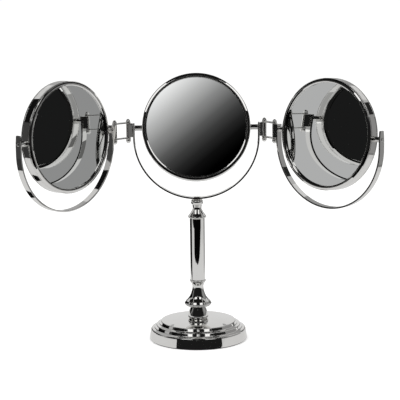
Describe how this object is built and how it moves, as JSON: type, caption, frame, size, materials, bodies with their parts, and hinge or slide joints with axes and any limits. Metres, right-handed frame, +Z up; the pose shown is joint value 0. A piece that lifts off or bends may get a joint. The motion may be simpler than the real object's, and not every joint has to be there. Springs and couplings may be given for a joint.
{
  "type": "triple vanity mirror",
  "caption": "Free-standing triple vanity mirror: a round tilting mirror on a turned pedestal, with a hinged wing mirror on each side, each in its own curved yoke.",
  "frame": {"origin": "centre of the felt underside, on the column's axis, on the surface that the mirror stands on", "axes": "+Z up the column, +X to the right as someone sees it who sits before it, and the mirrors face -Y"},
  "size_m": [0.5114, 0.2391, 0.4011],
  "materials": {
    "chrome": "polished nickel plate",
    "mirror_glass": "silvered glass",
    "steel": "zinc plated",
    "iron": "as cast",
    "felt": "pressed felt",
    "board": "plain fibreboard"
  },
  "bodies": {
    "stand": {"base_pad": "felt", "base_shell": "chrome", "base_ballast": "iron", "tie_rod_washer": "steel", "tie_rod_nut": "steel", "tie_rod": "steel", "lower_baluster": "chrome", "column_tube": "chrome", "column_cap": "chrome", "center_yoke": "chrome", "yoke_screw": "chrome", "left_inner_knuckle": "chrome", "right_inner_knuckle": "chrome"},
    "center_mirror": {"center_drum_band": "chrome", "center_front_bezel": "chrome", "center_rear_bezel": "chrome", "center_flat_glass": "mirror_glass", "center_magnifying_glass": "mirror_glass", "center_backing_board": "board", "center_left_pivot_pin": "chrome", "center_right_pivot_pin": "chrome"},
    "left_link": {"left_top_link": "chrome", "left_bottom_link": "chrome", "left_inner_hinge_pin": "chrome", "left_inner_cap_nut": "chrome", "left_outer_hinge_pin": "chrome", "left_outer_cap_nut": "chrome"},
    "left_frame": {"left_yoke": "chrome", "left_outer_knuckle": "chrome"},
    "left_mirror": {"left_drum_band": "chrome", "left_front_bezel": "chrome", "left_rear_bezel": "chrome", "left_flat_glass": "mirror_glass", "left_magnifying_glass": "mirror_glass", "left_backing_board": "board", "left_left_pivot_pin": "chrome", "left_right_pivot_pin": "chrome"},
    "right_link": {"right_top_link": "chrome", "right_bottom_link": "chrome", "right_inner_hinge_pin": "chrome", "right_inner_cap_nut": "chrome", "right_outer_hinge_pin": "chrome", "right_outer_cap_nut": "chrome"},
    "right_frame": {"right_yoke": "chrome", "right_outer_knuckle": "chrome"},
    "right_mirror": {"right_drum_band": "chrome", "right_front_bezel": "chrome", "right_rear_bezel": "chrome", "right_flat_glass": "mirror_glass", "right_magnifying_glass": "mirror_glass", "right_backing_board": "board", "right_left_pivot_pin": "chrome", "right_right_pivot_pin": "chrome"}
  },
  "joints": [
    {"name": "center_tilt", "type": "hinge", "parent": "stand", "child": "center_mirror", "pos_m": [0, 0, 0.32075], "axis": [-1, 0, 0], "continuous": true},
    {"name": "left_link_swing", "type": "hinge", "parent": "stand", "child": "left_link", "pos_m": [-0.1006, 0, 0.32075], "axis": [0, 0, 1], "range_deg": [-127.7, 52.3]},
    {"name": "left_wing_swing", "type": "hinge", "parent": "left_link", "child": "left_frame", "pos_m": [-0.11983, -0.01486, 0.32075], "axis": [0, 0, -1], "range_deg": [-78.3, 101.7]},
    {"name": "left_tilt", "type": "hinge", "parent": "left_frame", "child": "left_mirror", "pos_m": [-0.18529, -0.09124, 0.32075], "axis": [-0.6508, -0.7593, 0], "continuous": true},
    {"name": "right_link_swing", "type": "hinge", "parent": "stand", "child": "right_link", "pos_m": [0.1006, 0, 0.32075], "axis": [0, 0, -1], "range_deg": [-144.1, 35.9]},
    {"name": "right_wing_swing", "type": "hinge", "parent": "right_link", "child": "right_frame", "pos_m": [0.11485, -0.01968, 0.32075], "axis": [0, 0, 1], "range_deg": [-101.6, 78.4]},
    {"name": "right_tilt", "type": "hinge", "parent": "right_frame", "child": "right_mirror", "pos_m": [0.18902, -0.08765, 0.32075], "axis": [-0.7373, 0.6756, 0], "continuous": true}
  ]
}
